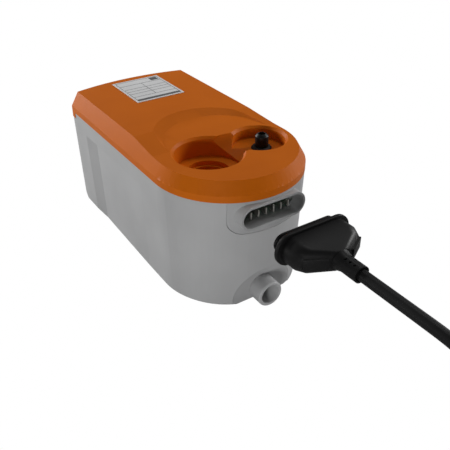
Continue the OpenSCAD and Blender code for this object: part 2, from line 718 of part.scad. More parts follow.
module plunger() {
  color([0.72, 0.73, 0.74]) difference() {
    rod(plunger_r, plunger_y, plunger_len, pump_x, pump_z);
    rod(port_r, plunger_y - over, plunger_len + 2 * over, pump_x, pump_z);
  }
}
spring_wire = 0.45;
spring_room = 0.35;
spring_end = 0.15;
spring_r = cyl_bore - spring_wire - spring_room;
function helix(r, y0, y1, turns, n) = [for (i = [0 : turns * n]) let (a = 360 * i / n)
  [pump_x + r * cos(a), y0 + (y1 - y0) * i / (turns * n), pump_z + r * sin(a)]];
// both springs are drawn pressed to the length they have at the end of the stroke
front_spring_line = helix(spring_r, cyl_front + web + spring_wire + snug, plunger_y - plunger_stroke - spring_wire - spring_end, 5, 8);
rear_spring_line = helix(spring_r, plunger_y + plunger_len + plunger_stroke + spring_wire + spring_end, cyl_back - spring_wire - snug, 3, 8);
module front_spring() { color([0.6, 0.6, 0.62]) swept(front_spring_line, spring_wire, 6); }
module rear_spring() { color([0.6, 0.6, 0.62]) swept(rear_spring_line, spring_wire, 6); }
bobbin_r = 13.5;
bobbin_wall = 1;
cheek_t = 2;                                  // the bobbin's two flanges
bobbin_y = yoke_y + cheek_t;
bobbin_len = yoke_len - 2 * cheek_t;
module coil_bobbin() {
  color([0.85, 0.82, 0.72]) difference() {
    union() {
      tube(cyl_r + snug + bobbin_wall, cyl_r + snug, bobbin_y, bobbin_len, pump_x, pump_z);
      for (t = [0, 1]) tube(bobbin_r, cyl_r + snug, bobbin_y + t * (bobbin_len - cheek_t), cheek_t, pump_x, pump_z);
    }
  }
}
winding_in = 0.7;
module coil_winding() {
  color([0.62, 0.30, 0.12]) tube(bobbin_r - winding_in, cyl_r + slip + bobbin_wall, bobbin_y + cheek_t + snug, bobbin_len - 2 * (cheek_t + snug), pump_x, pump_z);
}
plate = 2;                                    // the yoke's sheet
module coil_yoke() {
  color([0.45, 0.46, 0.48]) difference() {
    translate([pump_x - yoke_w / 2, yoke_y, pump_z - yoke_w / 2]) cube([yoke_w, yoke_len, yoke_w]);
    translate([pump_x - yoke_w / 2 - over, yoke_y + plate - 2 * tiny, pump_z - yoke_w / 2 + plate]) cube([yoke_w + 2 * over, yoke_len - 2 * plate + 4 * tiny, yoke_w - 2 * plate]);
    rod(cyl_r + slip, yoke_y - over, yoke_len + 2 * over, pump_x, pump_z);
    for (p = pad_places) translate([p.x, p.y, pump_z - yoke_w / 2 - over]) cylinder(h = plate + 2 * over, r = screw_r + slip);
  }
}
screw_r = 1.5;
module pump_mounts() {
  color([0.10, 0.10, 0.10]) for (p = pad_places) translate([p.x, p.y, 0]) difference() {
    union() {
      translate([0, 0, deck_z]) cylinder(h = pump_z - yoke_w / 2 - deck_z, r = pad_r);
      translate([0, 0, tray_z]) cylinder(h = deck_z - tray_z, r = pad_r / 2);
      translate([0, 0, tray_z - 1]) cylinder(h = 1, r = pad_r);
    }
    translate([0, 0, tray_z - over - over]) cylinder(h = far, r = screw_r + slip);
  }
}
screw_end = 0.5;
head_share = 1.9;
module pump_screws() {
  head_h = 1.8;
  z1 = pump_z - yoke_w / 2 + plate;
  color([0.7, 0.7, 0.72]) for (p = pad_places) translate([p.x, p.y, 0]) {
    translate([0, 0, tray_z - screw_end]) cylinder(h = z1 - tray_z + screw_end, r = screw_r);
    translate([0, 0, z1]) cylinder(h = head_h, r = screw_r * head_share);
  }
}

// Electronics on the left
module control_board() {
  color([0.06, 0.26, 0.15]) difference() {
    translate([board_x, board_y, board_z]) cube([board_w, board_l, board_t]);
    for (p = post_places) translate([p.x, p.y, board_z - over]) cylinder(h = board_t + 2 * over, r = post_bore_r + slip);
    translate([stem_x, stem_y, board_z - over]) cylinder(h = board_t + 2 * over, r = stem_top_r);
  }
}
relay_at = [26, 14];
relay_size = [12, 19, 15];
module relay() {
  color([0.10, 0.18, 0.42]) translate([board_x + relay_at[0], board_y + relay_at[1], board_z + board_t]) cube(relay_size);
}
can_at = [7, 16];
can_h = 17;
can_r = 6;
module capacitor() {
  color([0.15, 0.15, 0.35]) translate([board_x + can_at[0], board_y + can_at[1], board_z + board_t]) cylinder(h = can_h, r = can_r);
}
block_at = [12, 1];
block_w = 9;
block_h = 11;
way_r = 1.9;
way_d = 5;                                    // depth of the screw holes
module terminal_block() {
  ways = 3;
  pitch = 6;
  color([0.16, 0.42, 0.22]) difference() {
    translate([board_x + block_at[0], board_y + block_at[1], board_z + board_t]) cube([ways * pitch, block_w, block_h]);
    for (i = [0 : ways - 1]) translate([board_x + block_at[0] + (i + 0.5) * pitch, board_y + block_at[1] + block_w / 2, board_z + board_t + block_h - way_d])
      cylinder(h = way_d + over, r = way_r);
  }
}
screw_len = 6;
screw_head = 1.6;
module board_screws() {
  color([0.7, 0.7, 0.72]) for (p = post_places) translate([p.x, p.y, 0]) {
    translate([0, 0, board_z - screw_len]) cylinder(h = screw_len + board_t, r = post_bore_r);
    translate([0, 0, board_z + board_t]) cylinder(h = screw_head, r = post_bore_r * 2);
  }
}
// from the back of the socket board, round the inlet sleeve, to the terminal block
loom_r = 2;
loom_x = 18;                             // where it leaves the socket board
loom_off = 8.5;
loom_turn_r = sleeve_r + loom_off;            // round the sleeve
loom_rise = 5.5;
loom_start = 0.15;
loom_sweep = 95;
loom_from = 10;
loom_end = [21, 0.6];
loom_z = board_z + board_t + loom_rise;        // where it enters the terminal block
loom_line = concat(
  [[loom_x, socket_board_y + board_t + loom_start, socket_z], [loom_x, socket_board_y + board_t + loom_rise, socket_z]],
  [for (i = [0 : 4]) [inlet_x + loom_turn_r * cos(loom_sweep * i / 4 - loom_from), pocket_y + loom_turn_r * sin(loom_sweep * i / 4 - loom_from), loom_z + (4 - i)]],
  [[board_x + loom_end[0], board_y - loom_r, loom_z], [board_x + loom_end[0], board_y + loom_end[1], loom_z]]);
module wire_loom() { color([0.12, 0.12, 0.12]) swept(loom_line, loom_r, 8); }

// Float switch
float_rise = 7;
float_z = floor_z + float_rise;
clip_t = 1.2;
clip_up = 2;                                  // from the stem's end to the clip
stem_low = float_z - fit - clip_t - clip_up;
stem_foot = 1.2;
reed_room = 1.7;
reed_up = 1.5;
nut_h = 4;
nut_in = 0.8;
module float_stem() {
  color([0.88, 0.88, 0.85]) translate([stem_x, stem_y, 0]) difference() {
    union() {
      translate([0, 0, stem_low]) cylinder(h = deck_z - stem_low, r = stem_r);
      translate([0, 0, deck_z]) cylinder(h = nut_h, r = stem_top_r - nut_in, $fn = 6);
      translate([0, 0, tray_z - stem_foot]) cylinder(h = stem_foot, r = stem_top_r);
    }
    translate([0, 0, stem_low + reed_up]) cylinder(h = far, r = reed_room);
  }
}
clip_w = 2.4;
clip_gap = 1.6;
module stem_clip() {
  color([0.7, 0.7, 0.72]) translate([stem_x, stem_y, stem_low + clip_up]) difference() {
    cylinder(h = clip_t, r = stem_r + clip_w);
    translate([0, 0, -over]) cylinder(h = clip_t + 2 * over, r = stem_r);
    translate([0, -clip_gap / 2, -over]) cube([far, clip_gap, clip_t + 2 * over]);
  }
}
reed_drop = 22;                               // its glass starts this far under the tray
reed_len = 14;
reed_r = 1.2;
lead_r = 0.35;
lead_end = 2;
module reed_switch() {
  color([0.55, 0.75, 0.6]) translate([stem_x, stem_y, 0]) {
    translate([0, 0, tray_z - reed_drop]) cylinder(h = reed_len, r = reed_r);
    translate([0, 0, tray_z - reed_drop + reed_len]) cylinder(h = board_z - tray_z + reed_drop - reed_len - lead_end, r = lead_r);
    translate([0, 0, stem_low + reed_up]) cylinder(h = tray_z - reed_drop - stem_low - reed_up, r = lead_r);
  }
}
float_room = 0.4;
float_bore = stem_r + float_room;
magnet_r = 6.5;
magnet_h = 4;
module float() {
  color([0.90, 0.90, 0.86]) translate([stem_x, stem_y, float_z]) difference() {
    cylinder(h = float_h, r = float_r);
    translate([0, 0, -over]) cylinder(h = float_h + 2 * over, r = float_bore);
    translate([0, 0, float_h - magnet_h - magnet_down]) cylinder(h = magnet_h + magnet_down + over, r = magnet_r);
  }
}
magnet_down = 1;                              // under the float's top
module float_magnet() {
  color([0.2, 0.2, 0.22]) translate([stem_x, stem_y, float_z + float_h - magnet_h - magnet_down]) difference() {
    cylinder(h = magnet_h, r = magnet_r - 2 * tiny);
    translate([0, 0, -over]) cylinder(h = magnet_h + 2 * over, r = float_bore + float_room);
  }
}

// Plug
plug_y = collar_y - plug_gap;                 // front face of the plug's flange
flange_len = 2.2;
body_y = plug_y - flange_len;
neck_y = body_y - plug_body_len;
insert_len = 6.4;                             // reaches into the socket's tunnel
insert_room = [0.6, 0.5];                     // round the insert in the tunnel
insert_hw = collar_hw - collar_wall - insert_room[0];
insert_hh = collar_hh - collar_wall - insert_room[1];
rib_t = 1.5;                                  // ribs round the insert
core_hw = 18;                                 // core that carries the seal and the contacts
core_hh = 4;
core_edge = 1.5;
module plug_seal() {
  groove = 1;
  color([0.10, 0.10, 0.10]) difference() {
    union() {
      oval(insert_hw - groove, insert_hh - groove, plug_y - tiny, insert_len + tiny);
      for (y = [plug_y + insert_len - rib_t, plug_y + (insert_len - rib_t) / 2]) oval(insert_hw, insert_hh, y, rib_t);
      oval(plug_hw, plug_hh, body_y, flange_len);
    }
    soft_box(core_hw, core_hh, core_edge, body_y - over, far);
  }
}
module plug_body() {
  front_hw = plug_hw - flange_rim[0];
  front_hh = plug_hh - flange_rim[1];
  corner_hw = front_hw - corner_in;
  corner_y = neck_y + corner_up;
  corner_hh = front_hh - corner_low;
  root_hw = neck_r + 2 * root_out;
  root_hh = neck_r + root_out;
  root_y = neck_y - root_len;
  slice = 1;
  slope = atan((corner_y - root_y) / (corner_hw - root_hw));
  color([0.13, 0.13, 0.14]) difference() {
    union() {
      soft_box(core_hw, core_hh, core_edge, body_y - tiny, flange_len + tiny);
      hull() {
        soft_box(front_hw, front_hh, front_hh - 2 * flat, corner_y + corner_hw / 4, body_y - corner_y - corner_hw / 4, $fn = 40);
        soft_box(corner_hw, corner_hh, corner_hh - 2 * flat, corner_y, slice, $fn = 40);
        soft_box(root_hw, root_hh, root_hh - flat, root_y, slice, $fn = 40);
      }
      // raised pads on the shoulders, to pull the plug out by
      for (s = [-1, 1]) translate([s * (corner_hw + root_hw) / 2, (corner_y + root_y) / 2, socket_z]) rotate(s * slope)
        cube([pad_w, 2 * pad_rise, pad_h], center = true);
      rod(neck_r, neck_y - neck_len, neck_len + neck_root, 0, socket_z);
      rod(neck_r, root_y - neck_cone, neck_cone, 0, socket_z, root_hh);
    }
    rod(cord_r + mouth[0], neck_y - neck_len - over, mouth[1] + over, 0, socket_z);
    // slots that let the neck bend
    for (u = [-1, 1], t = [-1, 1], i = [0 : 2]) translate([u * slot_x, root_y - neck_cone - over - i * slot_step, socket_z + t * neck_r])
      cylinder(h = 2 * slot_in, r = slot_r, center = true, $fn = 24);
  }
}
pad_w = 13;
pad_h = 6.6;
pad_rise = 1.1;
slot_step = 3.2;
slot_x = 2;
slot_r = 0.7;
slot_in = 1.2;
flange_rim = [3, 1.5];       // of the flange beyond the plug's body
corner_in = 2.4;
corner_up = 5;
corner_low = 0.9;
root_out = 1.2;
root_len = 2.5;
flat = 0.2;
neck_root = 6;
neck_cone = 4;
mouth = [0.7, 2];            // room and depth round the cord
module plug_insert() {
  color([0.08, 0.08, 0.08]) difference() {
    soft_box(core_hw, core_hh, core_edge, plug_y, insert_len);
    for (i = [0 : blade_count - 1]) translate([(i - (blade_count - 1) / 2) * blade_pitch, plug_y + insert_len, blade_z])
      cube([blade_t + slot_more, 2 * slot_d, blade_h + over], center = true);
  }
}
slot_d = 5;
slot_more = 1.2;
fork_t = 0.3;
fork_off = 0.35;
module plug_contacts() {
  // spring forks at the bottom of the slots
  color([0.75, 0.62, 0.30]) for (i = [0 : blade_count - 1], s = [-1, 1])
    translate([(i - (blade_count - 1) / 2) * blade_pitch + s * (blade_t / 2 + fork_off), plug_y + insert_len - slot_d / 2 - fork_t, blade_z])
      cube([fork_t, slot_d - 2 * fork_t, blade_h - over], center = true);
}

// Mains cord
// Real coordinates, chosen by hand: straight out of the neck past the view, then down to the floor beside the drain hose's way
cord_line = [[0, -164.9, 70.4], [0, -176, 70.4], [0, -187, 70.4], [0, -198, 70.4], [0, -209.5, 70.4], [0, -220.5, 70.3],
             [0, -231, 69], [0.6, -240.5, 64], [2, -248, 55.5], [3.8, -253.7, 46.5], [6, -258.7, 37], [8.8, -263.4, 27.5],
             [12.2, -268, 18.2], [17, -273.8, 10.2], [23.5, -280.5, 5.2]];
coil_x = 65;
coil_y = -255;
coil_z = 3.5;
coil_a = 225;                // where the lower layer starts
coil_room = 0.5;
coil_pitch = 2 * cord_r + coil_room;
loop_rings = 24;
coil_in = coil_r - coil_turns * coil_pitch;
function coil_point(r, i, z) = let (a = coil_a + 360 * i / loop_rings) [coil_x + r * cos(a), coil_y + r * sin(a), z];
n_low = coil_turns * loop_rings;
n_climb = loop_rings / 2;
n_high = n_low - 3;          // the upper layer ends heading for the pump's back
coil_tail = [[111.6, -244, 10.3], [111.8, -233, 8.9], [112, -222, 6.6], [112.2, -211, 4.6], [112.4, -201, 3.6], [112.5, -192, 3.5]];
coil_line = concat(
  [for (i = [0 : n_low]) coil_point(coil_r - coil_pitch * i / loop_rings, i, coil_z)],
  [for (i = [1 : n_climb - 1]) coil_point(coil_in - coil_pitch * min(i, n_climb - i) / loop_rings, n_low + i, coil_z + coil_pitch * (1 - cos(180 * i / n_climb)) / 2)],
  [for (i = [0 : n_high]) coil_point(coil_in + coil_pitch * i / loop_rings, n_low + n_climb + i, coil_z + coil_pitch)],
  coil_tail);
coil_way = [-sin(coil_a), cos(coil_a), 0];
// least gap between turns that don't follow each other
coil_gap = min([for (i = [0 : len(coil_line) - 1], j = [i + 8 : 1 : len(coil_line) - 1]) norm(coil_line[i] - coil_line[j])]) - 2 * cord_r;
echo(least_coil_gap = coil_gap);
module power_cord() { color([0.13, 0.13, 0.14]) swept(concat(cord_line, [coil_line[0]]), cord_r, 8, last = coil_way); }
module cord_coil() { color([0.13, 0.13, 0.14]) swept(coil_line, cord_r, 6, first = coil_way, last = [0, 1, 0]); }
tie_a = 300;
module cord_tie() {
  tie_w = 6;
  wall = 1.2;
  mid_r = (coil_r + coil_in) / 2;
  hw = (coil_r - coil_in) / 2 + cord_r + over;
  top = coil_z + coil_pitch + cord_r + wall / 2;
  low = cord_r / 3;
  color([0.05, 0.05, 0.05]) translate([coil_x, coil_y, 0]) rotate(tie_a) translate([mid_r, 0, 0]) difference() {
    translate([-hw - wall, -tie_w / 2, low]) cube([2 * (hw + wall), tie_w, top + wall - low]);
    translate([-hw, -tie_w, low - over]) cube([2 * hw, 2 * tie_w, top - low + over]);
  }
}
core_r = 1.1;
core_len = 28;
ferrule_len = 7;
ferrule_share = 0.8;
core_places = [[-1.3, -0.75], [1.3, -0.75], [0, 1.5]];
end_of_coil = coil_tail[len(coil_tail) - 1];
module cord_cores() {
  hues = [[0.35, 0.18, 0.08], [0.10, 0.25, 0.60], [0.35, 0.60, 0.10]];
  for (i = [0 : 2]) color(hues[i]) rod(core_r, end_of_coil.y, core_len, end_of_coil.x + core_places[i][0], end_of_coil.z + core_places[i][1]);
}
module core_ferrules() {
  color([0.8, 0.8, 0.8]) for (p = core_places) rod(core_r * ferrule_share, end_of_coil.y + core_len, ferrule_len, end_of_coil.x + p[0], end_of_coil.z + p[1]);
}

// The whole
tank();
front_spigot();
rubber_feet();
lid();
label_plate();
chassis_tray();
rim_seal();
front_panel();
socket_board();
contact_blades();
inlet_sleeve();
outlet_spigot();
outlet_grommet();
discharge_hose();
pump_cylinder();
outlet_valve_cap();
inlet_valve_cap();
outlet_ball();
inlet_ball();
plunger();
front_spring();
rear_spring();
coil_bobbin();
coil_winding();
coil_yoke();
pump_mounts();
pump_screws();
suction_hose();
suction_pipe();
strainer();
control_board();
relay();
capacitor();
terminal_block();
board_screws();
wire_loom();
float_stem();
stem_clip();
reed_switch();
float();
float_magnet();
plug_body();
plug_seal();
plug_insert();
plug_contacts();
power_cord();
cord_coil();
cord_tie();
cord_cores();
core_ferrules();
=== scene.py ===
import math

import bpy
from mathutils import Matrix, Vector


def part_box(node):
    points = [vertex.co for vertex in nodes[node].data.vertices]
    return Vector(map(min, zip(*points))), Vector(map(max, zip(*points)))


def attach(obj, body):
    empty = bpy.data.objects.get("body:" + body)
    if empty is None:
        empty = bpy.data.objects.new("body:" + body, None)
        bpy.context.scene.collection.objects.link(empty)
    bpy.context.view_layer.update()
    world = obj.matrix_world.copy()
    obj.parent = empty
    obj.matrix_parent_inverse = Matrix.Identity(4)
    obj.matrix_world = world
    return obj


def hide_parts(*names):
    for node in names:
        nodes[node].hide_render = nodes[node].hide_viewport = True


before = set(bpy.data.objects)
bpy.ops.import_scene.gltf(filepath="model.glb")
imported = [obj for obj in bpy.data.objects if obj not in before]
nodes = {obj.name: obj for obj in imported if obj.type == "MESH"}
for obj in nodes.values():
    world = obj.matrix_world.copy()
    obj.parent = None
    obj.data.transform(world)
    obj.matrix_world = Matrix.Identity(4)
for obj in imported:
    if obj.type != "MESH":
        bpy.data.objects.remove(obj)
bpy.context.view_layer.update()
scene = bpy.context.scene
print("frame loaded:", len(nodes), "nodes")

# camera, metres and degrees
camera = {
    "place": (-0.1891, -0.3297, 0.2578),
    "turn": -32.3,
    "down": 30.19,
    "roll": -0.5,
    "lens": 48.64,
    "sensor": 36,
    "shift": (0.0248, -0.0745),
    "near": 0.01,
}


def addCamera(c):
    data = bpy.data.cameras.new("studioCamera")
    obj = bpy.data.objects.new("studioCamera", data)
    scene.collection.objects.link(obj)
    data.lens = c["lens"]
    data.sensor_width = c["sensor"]
    data.shift_x, data.shift_y = c["shift"]
    data.clip_start = c["near"]
    obj.matrix_world = (
        Matrix.Translation(c["place"])
        @ Matrix.Rotation(math.radians(c["turn"]), 4, "Z")
        @ Matrix.Rotation(math.radians(90 - c["down"]), 4, "X")
        @ Matrix.Rotation(math.radians(c["roll"]), 4, "Z")
    )
    scene.camera = obj


addCamera(camera)

# all pieces below are written in millimetres, and Blender takes metres
perMetre = 1000


def metres(values):
    return [v / perMetre for v in values]


def selectOnly(obj):
    if bpy.context.object and bpy.context.object.mode != "OBJECT":
        bpy.ops.object.mode_set(mode="OBJECT")
    bpy.ops.object.select_all(action="DESELECT")
    obj.hide_set(False)
    obj.select_set(True)
    bpy.context.view_layer.objects.active = obj


# tubes along a smooth line, for the cord, wires and springs
tube = {"steps": 4, "order": 4}


def tubeCurve(name, points, radius, sides):
    data = bpy.data.curves.new(name, "CURVE")
    data.dimensions = "3D"
    data.bevel_depth = 1  # the points' own radius then counts in metres
    data.bevel_resolution = sides
    data.use_fill_caps = True
    data.resolution_u = tube["steps"]
    spline = data.splines.new("NURBS")
    spline.points.add(len(points) - 1)
    for point, place in zip(spline.points, points):
        point.co = (*metres(place), 1)
        point.radius = radius / perMetre
    spline.order_u = tube["order"]
    spline.use_endpoint_u = True
    obj = bpy.data.objects.new(name, data)
    scene.collection.objects.link(obj)
    return obj


def meshOf(curve):
    selectOnly(curve)
    bpy.ops.object.convert(target="MESH")
    bpy.ops.object.shade_smooth()
    return bpy.context.object


# mains cord, on the same route as the solid's
cord = {
    "radius": 3.3,
    "sides": 6,
    "line": [
        (0, -164.85, 70.4), (0, -176, 70.4), (0, -187, 70.4), (0, -198, 70.4), (0, -209.5, 70.4),
        (0, -220.5, 70.3), (0, -231, 69), (0.6, -240.5, 64), (2, -248, 55.5), (3.8, -253.7, 46.5),
        (6, -258.7, 37), (8.8, -263.4, 27.5), (12.2, -268, 18.2), (17, -273.8, 10.2),
        (23.5, -280.5, 5.2),
    ],
    "tail": [
        (111.6, -244, 10.3), (111.8, -233, 8.9), (112, -222, 6.6), (112.2, -211, 4.6),
        (112.4, -201, 3.6), (112.5, -192, 3.5),
    ],
    "coilRadius": 47.4,
    "coilCentre": (65, -255),
    "coilStart": 225,
    "turns": 2.5,  # in each of the two layers
    "pitch": 7.1,
    "low": 3.5,
    "rings": 24,  # points in one turn
    "early": 2,  # the cord leaves the upper layer this many points early
}


def coilPoint(c, radius, step, z):
    a = math.radians(c["coilStart"] + 360 * step / c["rings"])
    x, y = c["coilCentre"]
    return (x + radius * math.cos(a), y + radius * math.sin(a), z)


def cordPoints(c):
    rings, pitch, outer = c["rings"], c["pitch"], c["coilRadius"]
    lower, climb = int(c["turns"] * rings), rings // 2
    inner = outer - c["turns"] * pitch
    points = list(c["line"])
    for i in range(lower + 1):
        points.append(coilPoint(c, outer - pitch * i / rings, i, c["low"]))
    for i in range(1, climb):
        rise = pitch * (1 - math.cos(math.pi * i / climb)) / 2
        radius = inner - pitch * min(i, climb - i) / rings
        points.append(coilPoint(c, radius, lower + i, c["low"] + rise))
    for i in range(lower - c["early"]):
        radius = inner + pitch * i / rings
        points.append(coilPoint(c, radius, lower + climb + i, c["low"] + pitch))
    return points + c["tail"]


mainsCord = tubeCurve("mainsCord", cordPoints(cord), cord["radius"], cord["sides"])
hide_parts("power_cord", "cord_coil")
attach(mainsCord, "plug")
print("camera and cord placed")

# soft edges; the gentle ramps of lid and tank only show with a small smoothing angle
softEdges = {
    "lid": {"width": 0.8, "smooth": 4.2, "body": "head", "slot": "orange_plastic", "look": "lidOrange"},
    "tank": {"width": 0.5, "smooth": 4.2, "body": "tank", "slot": "grey_plastic", "look": "tankGrey"},
    "front_spigot": {"width": 0.4, "body": "tank", "slot": "grey_plastic", "look": "tankGrey"},
    "rubber_feet": {"width": 0.5, "body": "tank", "slot": "black_rubber", "look": "rubberBlack"},
    "front_panel": {"width": 0.5, "body": "head", "slot": "grey_plastic", "look": "panelGreyPaintedShade"},
    "outlet_spigot": {"width": 0.5, "body": "head", "slot": "black_plastic", "look": "plugBlack"},
    "outlet_grommet": {"width": 0.4, "body": "head", "slot": "black_rubber", "look": "rubberBlack"},
    "contact_blades": {"width": 0.2, "body": "head", "slot": "contact_metal", "look": "bladeMetal"},
    "plug_body": {"width": 0.9, "body": "plug", "slot": "black_plastic", "look": "plugBlack"},
    "plug_seal": {"width": 0.6, "body": "plug", "slot": "black_rubber", "look": "plugBlack"},
    "plug_insert": {"width": 0.4, "body": "plug", "slot": "black_plastic", "look": "plugBlack"},
}

# how edges are rounded, angles in degrees
rounding = {
    "merge": 0.01,  # points of a copy that are nearer than this are one
    "flat": 1,
    "corner": 32,
    "segments": 3,
    "smallCorner": 35,
    "smallSegments": 2,
    "smooth": 40,
}


def roundEdges(obj, width, corner, segments, smooth):
    edge = obj.modifiers.new("softEdge", "BEVEL")
    edge.width = width / perMetre
    edge.segments = segments
    edge.limit_method = "ANGLE"
    edge.angle_limit = math.radians(corner)
    bpy.ops.object.modifier_apply(modifier="softEdge")
    bpy.ops.object.shade_smooth_by_angle(angle=math.radians(smooth))


def pieceName(name):
    return name.replace("_", " ").title().replace(" ", "")


def softCopy(name, spec):
    source = nodes[name]
    obj = bpy.data.objects.new(pieceName(name), source.data.copy())
    obj.data.transform(source.matrix_world)
    scene.collection.objects.link(obj)
    selectOnly(obj)
    bpy.ops.object.mode_set(mode="EDIT")
    bpy.ops.mesh.select_all(action="SELECT")
    bpy.ops.mesh.remove_doubles(threshold=rounding["merge"] / perMetre)
    bpy.ops.mesh.dissolve_limited(angle_limit=math.radians(rounding["flat"]))
    bpy.ops.object.mode_set(mode="OBJECT")
    smooth = spec.get("smooth", rounding["smooth"])
    roundEdges(obj, spec["width"], rounding["corner"], rounding["segments"], smooth)
    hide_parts(name)
    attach(obj, spec["body"])
    return obj


softPieces = {name: softCopy(name, spec) for name, spec in softEdges.items()}
print("soft copies of", len(softPieces), "pieces")

# helpers for the small pieces
looksOf = {}
upright, lying = (0, 0, 0), (math.pi / 2, 0, 0)  # how a barrel is turned


def corners(name):
    low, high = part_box(name)
    return [v * perMetre for v in low], [v * perMetre for v in high]


def block(name, low, high):
    middle = metres((a + b) / 2 for a, b in zip(low, high))
    bpy.ops.mesh.primitive_cube_add(size=1, location=middle)
    obj = bpy.context.object
    obj.name = name
    obj.scale = metres(b - a for a, b in zip(low, high))
    bpy.ops.object.transform_apply(location=True, rotation=True, scale=True)
    return obj


def barrel(name, middle, radius, height, sides=32, turn=upright):
    bpy.ops.mesh.primitive_cylinder_add(
        vertices=sides, radius=radius / perMetre, depth=height / perMetre,
        location=metres(middle), rotation=turn,
    )
    obj = bpy.context.object
    obj.name = name
    bpy.ops.object.transform_apply(location=True, rotation=True, scale=True)
    return obj


def joined(name, parts):
    selectOnly(parts[0])
    for part in parts[1:]:
        part.select_set(True)
    if len(parts) > 1:
        bpy.ops.object.join()
    obj = bpy.context.object
    obj.name = name
    return obj


def softened(obj, width):
    selectOnly(obj)
    roundEdges(obj, width, rounding["smallCorner"], rounding["smallSegments"], rounding["smooth"])
    return obj


def belongs(obj, body, look):
    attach(obj, body)
    looksOf[obj.name] = look


# ruled fields on the label, without any lettering
label = {
    "line": 0.3,
    "rise": 0.06,
    "margin": 1.8,
    "rows": (0.2, 0.36, 0.48, 0.6, 0.8),  # shares of the ruled length
    "split": 0.52,
    "band": 3,
    "patch": (7, 6.5),  # its near sides, from the frame's corner
    "patchInset": 1,
}


def ruledLabel(c):
    low, high = corners("label_plate")
    x0, y0 = low[0] + c["margin"], low[1] + c["margin"]
    x1, y1 = high[0] - c["margin"], high[1] - c["margin"]
    z0, z1 = high[2], high[2] + c["rise"]
    half = c["line"] / 2

    def bar(ax, ay, bx, by):
        return block("rule", (ax - half, ay - half, z0), (bx + half, by + half, z1))

    bars = [bar(x0, y0, x1, y0), bar(x0, y1, x1, y1), bar(x0, y0, x0, y1), bar(x1, y0, x1, y1)]
    rows = [y0 + share * (y1 - y0) for share in c["rows"]]
    bars += [bar(x0, y, x1, y) for y in rows]
    split = x0 + c["split"] * (x1 - x0)
    bars.append(bar(split, rows[0], split, rows[-1]))
    bars.append(block("band", (x0, y0, z0), (x1, y0 + c["band"], z1)))
    wide, long = c["patch"]
    inset = c["patchInset"]
    bars.append(block("patch", (x1 - wide, y1 - long, z0), (x1 - inset, y1 - inset, z1)))
    belongs(joined("labelRules", bars), "head", "labelInk")


ruledLabel(label)

# three wires from the socket's board round the inlet to the terminal block
loom = {
    "wire": 0.85,
    "sides": 2,
    "spread": [(0, 1.05), (0.9, -0.55), (-0.9, -0.55)],  # outwards and up, for each wire
    "inset": 2,  # of the wires' middle from the node's top and bottom
    "play": 0.05,
    "startX": 18,
    "run": 5.35,
    "endX": -19,
    "reach": 2.6,
    "turn": 24,  # radius of the bend round the inlet
    "from": -10,
    "sweep": 95,
    "fall": 4,  # steps of 1 mm down along the bend
}


def loomWires(c):
    low, high = corners("wire_loom")
    sleeveLow, sleeveHigh = corners("inlet_sleeve")
    x0, y0 = (sleeveLow[0] + sleeveHigh[0]) / 2, (sleeveLow[1] + sleeveHigh[1]) / 2
    top, bottom = high[2] - c["inset"], low[2] + c["inset"]
    wires = []
    for dr, dz in c["spread"]:
        startX, endX, turn = c["startX"] + dr, c["endX"] + dr, c["turn"] + dr
        line = [(startX, low[1] + c["play"], top + dz), (startX, low[1] + c["run"], top + dz)]
        for i in range(c["fall"] + 1):
            a = math.radians(c["sweep"] * i / c["fall"] + c["from"])
            z = bottom + c["fall"] - i + dz
            line.append((x0 + turn * math.cos(a), y0 + turn * math.sin(a), z))
        line.append((endX, high[1] - c["reach"], bottom + dz))
        line.append((endX, high[1] - c["play"], bottom + dz))
        wires.append(meshOf(tubeCurve("loomWire", line, c["wire"], c["sides"])))
    obj = joined("loomWires", wires)
    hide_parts("wire_loom")
    belongs(obj, "head", "plugBlack")


loomWires(loom)

# the coil's winding and the two springs, round an axis from front to back
winding = {"wire": 0.42, "sides": 1, "gap": 0.02, "rings": 20, "play": 0.1, "coreSides": 48}
springs = {"wire": 0.45, "sides": 2, "rings": 24, "turns": {"front_spring": 5, "rear_spring": 3}}


def roundSpace(name, wire):
    low, high = corners(name)
    middle = (low[0] + high[0]) / 2, (low[2] + high[2]) / 2
    return middle, (high[0] - low[0]) / 2 - wire, low[1], high[1]


def spiral(middle, radius, start, pitch, turns, rings):
    points = []
    for i in range(int(turns * rings) + 1):
        a = 2 * math.pi * i / rings
        x, z = middle[0] + radius * math.cos(a), middle[1] + radius * math.sin(a)
        points.append((x, start + pitch * i / rings, z))
    return points


def woundCoil(c):
    wire, play = c["wire"], c["play"]
    middle, radius, front, back = roundSpace("coil_winding", wire)
    pitch = 2 * wire + c["gap"]
    turns = int((back - front - 2 * wire) / pitch)
    centre = (middle[0], (front + back) / 2, middle[1])
    core = barrel("windingCore", centre, radius, back - front - 2 * play, c["coreSides"], lying)
    bpy.ops.object.shade_smooth_by_angle(angle=math.radians(rounding["smooth"]))
    points = spiral(middle, radius, front + wire + play, pitch, turns, c["rings"])
    wound = meshOf(tubeCurve("windingWire", points, wire, c["sides"]))
    obj = joined("woundCoil", [wound, core])
    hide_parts("coil_winding")
    belongs(obj, "head", "copperEnamel")


def fineSpring(name, turns, c):
    wire = c["wire"]
    middle, radius, front, back = roundSpace(name, wire)
    pitch = (back - front - 2 * wire) / turns
    points = spiral(middle, radius, front + wire, pitch, turns, c["rings"])
    obj = meshOf(tubeCurve(pieceName(name) + "Fine", points, wire, c["sides"]))
    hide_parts(name)
    belongs(obj, "head", "plungerSteel")


woundCoil(winding)
for name, turns in springs["turns"].items():
    fineSpring(name, turns, springs)
print("label ruled, coil and springs wound")

